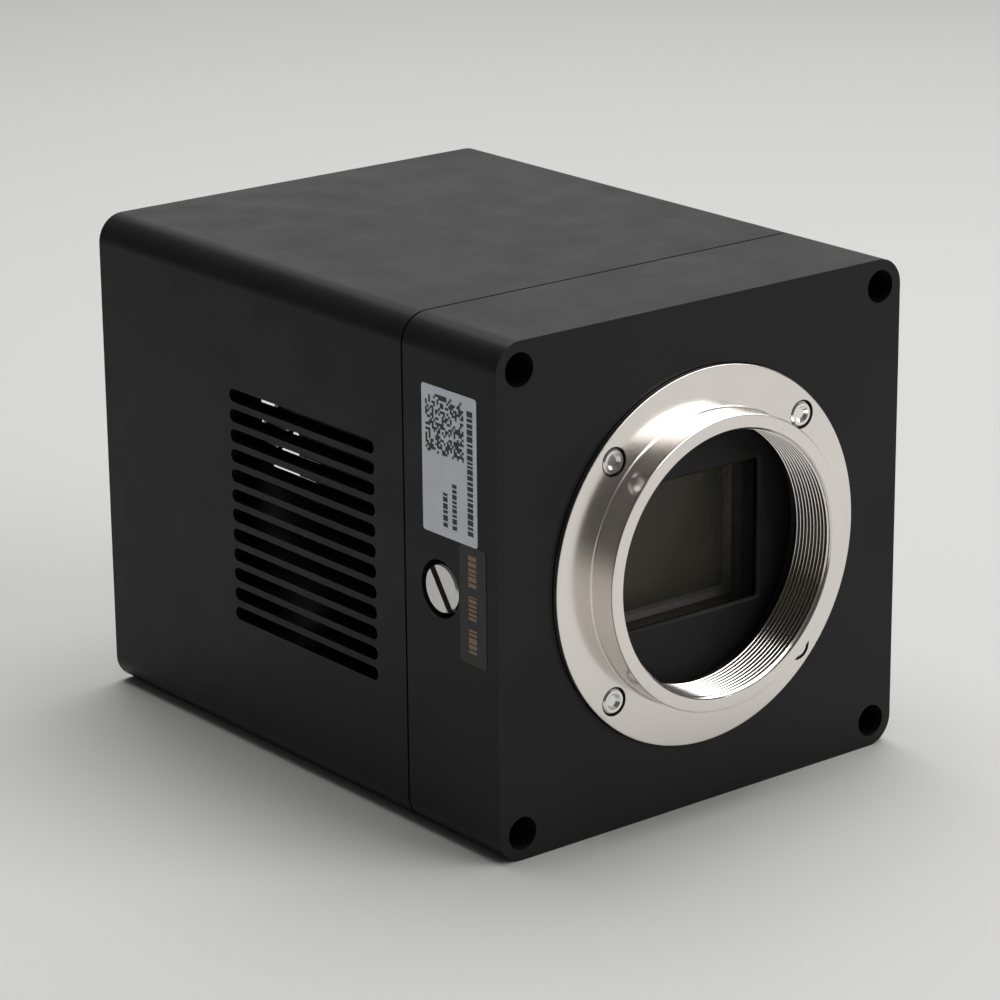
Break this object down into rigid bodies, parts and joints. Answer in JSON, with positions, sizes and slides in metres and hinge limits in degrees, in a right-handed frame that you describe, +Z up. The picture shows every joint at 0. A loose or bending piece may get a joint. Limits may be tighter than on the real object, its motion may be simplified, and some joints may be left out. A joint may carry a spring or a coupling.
{
  "type": "cooled astronomy camera",
  "caption": "Square black cooled astronomy camera with a bright threaded lens mount, side vents, a slotted port plug, a heat sink and a rear fan.",
  "frame": {"origin": "on the optical axis at the front face of the lens mount's collar", "axes": "-Y points out of the lens mount, +Y towards the sockets, +Z up, +X to the right seen from the front"},
  "size_m": [0.0801, 0.1082, 0.08],
  "materials": {
    "front_anodised": "satin black anodised",
    "rear_anodised": "satin black anodised",
    "panel_anodised": "satin black anodised",
    "sink_anodised": "black anodised fins",
    "baffle_black": "matt black anodised",
    "frame_black": "matt black",
    "turned_ring": "fine turned, bright",
    "plug_steel": "turned and polished",
    "steel_screws": "bright",
    "black_screws": "black oxide",
    "shim_brass": "rolled foil",
    "window_glass": "coated optical glass",
    "sensor_glass": "coated cover glass",
    "seal_rubber": "matt",
    "gasket_rubber": "matt",
    "label_film": "satin printed film",
    "sticker_film": "satin film",
    "tablet_clay": "pressed powder",
    "carrier_ceramic": "fired ceramic",
    "sensor_silicon": "polished silicon with filters",
    "board_green": "solder mask over glass laminate",
    "white_nylon": "moulded",
    "connector_plastic": "moulded",
    "ribbon_film": "polyimide film",
    "pad_silicone": "soft pad",
    "cold_block": "milled",
    "cooler_ceramic": "fired alumina",
    "pellet_alloy": "sintered",
    "foam": "closed-cell foam",
    "insert_steel": "turned",
    "standoff_brass": "turned",
    "chip_black": "moulded",
    "ferrite": "moulded ferrite",
    "can_aluminium": "drawn can",
    "socket_steel": "plated sheet",
    "tongue_plastic": "moulded",
    "socket_plastic": "moulded",
    "contact_gold": "gold flash",
    "light_pipe": "diffuse light pipe",
    "fan_plastic": "moulded",
    "rotor_plastic": "moulded",
    "bearing_bronze": "sintered",
    "copper_winding": "enamelled wire",
    "magnet_ferrite": "bonded magnet",
    "shaft_steel": "ground",
    "guard_steel": "stamped, plated"
  },
  "bodies": {
    "camera": {"front_housing": "front_anodised", "mount_ring": "turned_ring", "mount_shim": "shim_brass", "mount_ring_screws": "steel_screws", "window_retainer": "baffle_black", "chamber_window": "window_glass", "window_seal": "seal_rubber", "corner_screws": "black_screws", "code_label": "label_film", "side_sticker": "sticker_film", "desiccant_tablets": "tablet_clay", "seam_gasket": "gasket_rubber", "chamber_seal": "seal_rubber", "sensor_package": "carrier_ceramic", "sensor_die": "sensor_silicon", "sensor_cover_glass": "sensor_glass", "sensor_baffle": "frame_black", "sensor_board": "board_green", "sensor_posts": "white_nylon", "sensor_board_screws": "steel_screws", "sensor_connector": "connector_plastic", "flex_cable": "ribbon_film", "thermal_pad": "pad_silicone", "cold_finger": "cold_block", "clamp_screws": "white_nylon", "cooler_cold_plate": "cooler_ceramic", "cooler_pellets": "pellet_alloy", "cooler_hot_plate": "cooler_ceramic", "cold_insulation": "foam", "heat_sink": "sink_anodised", "heat_sink_screws": "steel_screws", "rear_housing": "rear_anodised", "tripod_insert": "insert_steel", "main_board": "board_green", "board_standoffs": "standoff_brass", "board_screws": "steel_screws", "board_chips": "chip_black", "power_inductors": "ferrite", "board_capacitors": "can_aluminium", "flex_connector": "connector_plastic", "usb_shell": "socket_steel", "usb_tongue": "tongue_plastic", "power_jack": "socket_plastic", "power_jack_pin": "contact_gold", "guide_socket": "socket_plastic", "guide_contacts": "contact_gold", "status_light": "light_pipe", "fan_frame": "fan_plastic", "fan_bearing": "bearing_bronze", "fan_stator": "copper_winding", "fan_screws": "black_screws", "fan_guard": "guard_steel", "rear_panel": "panel_anodised", "rear_panel_screws": "black_screws"},
    "rotor": {"fan_rotor": "rotor_plastic", "fan_magnet": "magnet_ferrite", "fan_shaft": "shaft_steel"},
    "plug_seal": {"plug_seal": "seal_rubber"},
    "plug": {"chamber_plug": "plug_steel"}
  },
  "joints": [
    {"name": "fan_spin", "type": "hinge", "parent": "camera", "child": "rotor", "pos_m": [0, 0.0947, 0.009], "axis": [0, 1, 0], "continuous": true},
    {"name": "plug_travel", "type": "slide", "parent": "camera", "child": "plug_seal", "axis": [-1, 0, 0], "range_m": [0, 0.00487]},
    {"name": "plug_turn", "type": "hinge", "parent": "plug_seal", "child": "plug", "pos_m": [-0.038, 0.01925, 0], "axis": [-1, 0, 0], "range_deg": [0, 2340]}
  ],
  "couplings": [
    {"joint": "plug_turn", "follows": "plug_travel", "rad_per_m": 8377.6}
  ]
}
